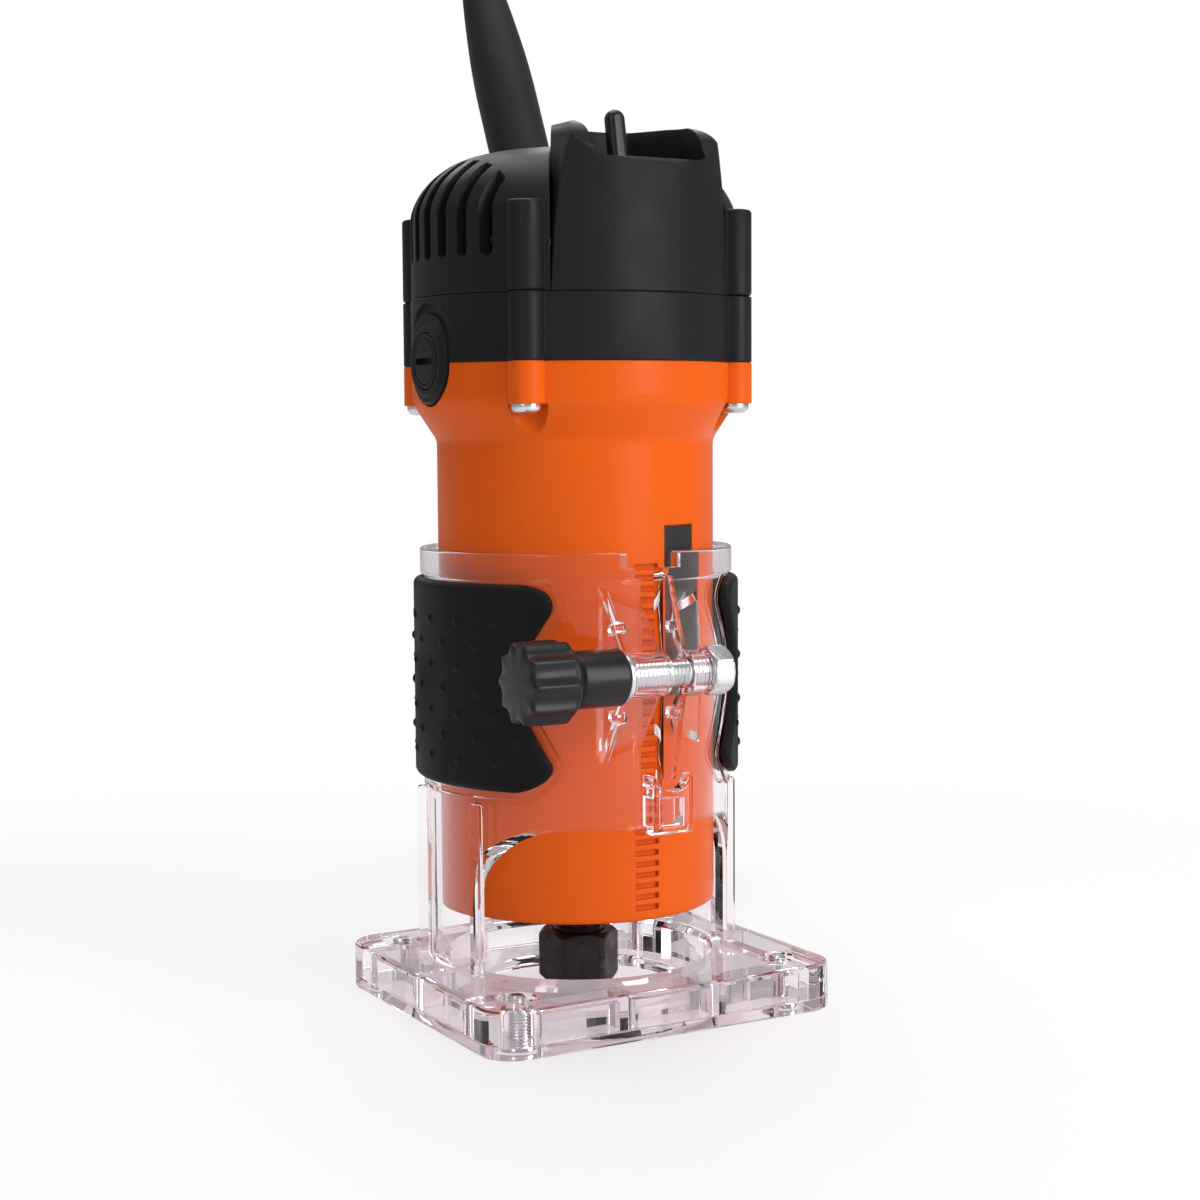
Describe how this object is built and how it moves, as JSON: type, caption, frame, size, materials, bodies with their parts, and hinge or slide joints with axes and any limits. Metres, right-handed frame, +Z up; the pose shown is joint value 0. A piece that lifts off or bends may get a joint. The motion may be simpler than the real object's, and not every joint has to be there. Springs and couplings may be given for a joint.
{
  "type": "trim router",
  "caption": "Compact palm router: orange barrel motor with a black vented head, sliding in a clear split-sleeve base with a square sole, clamp knob and grip pads.",
  "frame": {"origin": "on the spindle axis at the underside of the sole", "axes": "+Z up along the spindle, -Y the front with the clamp slot and the switch, +X to the right seen from the front"},
  "size_m": [0.1478, 0.2046, 0.2932],
  "materials": {
    "clear_plastic": "clear, glossy",
    "orange_plastic": "semi-gloss",
    "black_plastic": "satin, fine texture",
    "plate_black": "smooth",
    "rubber": "soft matt",
    "lead": "matt",
    "tie_strap": "woven",
    "zinc": "zinc plated",
    "blacked_steel": "black oxide",
    "steel": "ground",
    "brass": "drawn",
    "copper": "enamelled copper",
    "carbon": "matt",
    "lamination": "oxidised",
    "grey_plastic": "matt"
  },
  "bodies": {
    "base": {"base_frame": "clear_plastic", "sub_base": "clear_plastic", "sub_base_screw_1": "zinc", "sub_base_screw_2": "zinc", "sub_base_screw_3": "zinc", "sub_base_screw_4": "zinc", "grip_pad_left": "rubber", "grip_pad_right": "rubber", "clamp_nut": "zinc", "cord_coil": "lead", "cord_end": "lead", "cord_tie": "tie_strap", "plug_body": "lead", "plug_pin_1": "brass", "plug_pin_2": "brass"},
    "washer": {"clamp_washer": "zinc"},
    "knob": {"clamp_knob": "black_plastic", "clamp_stud": "zinc"},
    "motor": {"motor_housing": "orange_plastic", "name_plate": "plate_black", "brush_band": "black_plastic", "head_cover": "black_plastic", "front_shield": "black_plastic", "head_screw_1": "zinc", "head_screw_2": "zinc", "head_screw_3": "zinc", "head_screw_4": "zinc", "brush_cap_left": "black_plastic", "brush_cap_right": "black_plastic", "brush_holder_left": "brass", "brush_holder_right": "brass", "carbon_brush_left": "carbon", "carbon_brush_right": "carbon", "brush_spring_left": "steel", "brush_spring_right": "steel", "stator_core": "lamination", "field_coil_front": "copper", "field_coil_rear": "copper", "air_baffle": "grey_plastic", "lower_bearing_outer": "steel", "upper_bearing_outer": "steel", "switch_body": "black_plastic", "cord_clamp": "grey_plastic", "cord_clamp_screw_1": "steel", "cord_clamp_screw_2": "steel", "cord_guard": "lead", "cord_lead": "lead"},
    "spindle": {"spindle_shaft": "blacked_steel", "armature_core": "lamination", "armature_winding_lower": "copper", "armature_winding_upper": "copper", "commutator": "copper", "fan": "grey_plastic", "lower_bearing_inner": "steel", "upper_bearing_inner": "steel"},
    "collet": {"collet": "steel"},
    "collet_nut": {"collet_nut": "blacked_steel"},
    "lever": {"switch_lever": "black_plastic"}
  },
  "joints": [
    {"name": "depth_slide", "type": "slide", "parent": "base", "child": "motor", "axis": [0, 0, 1], "range_m": [-0.003, 0.035]},
    {"name": "spindle_turn", "type": "hinge", "parent": "motor", "child": "spindle", "pos_m": [0, 0, 0.03], "axis": [0, 0, 1], "continuous": true},
    {"name": "collet_travel", "type": "slide", "parent": "spindle", "child": "collet", "axis": [0, 0, -1], "range_m": [0, 0.0028]},
    {"name": "collet_nut_turn", "type": "hinge", "parent": "collet", "child": "collet_nut", "pos_m": [0, 0, 0.0095], "axis": [0, 0, -1], "range_deg": [0, 720]},
    {"name": "clamp_travel", "type": "slide", "parent": "base", "child": "washer", "axis": [-1, 0, 0], "range_m": [0, 0.0021]},
    {"name": "clamp_knob_turn", "type": "hinge", "parent": "washer", "child": "knob", "pos_m": [-0.03, -0.0455, 0.0815], "axis": [-1, 0, 0], "range_deg": [0, 720]},
    {"name": "switch_toggle", "type": "hinge", "parent": "motor", "child": "lever", "pos_m": [0, -0.0231, 0.185], "axis": [1, 0, 0], "range_deg": [0, 21]}
  ],
  "couplings": [
    {"joint": "collet_travel", "follows": "collet_nut_turn", "m_per_rad": 0.00019894},
    {"joint": "clamp_travel", "follows": "clamp_knob_turn", "m_per_rad": 0.00015915}
  ]
}
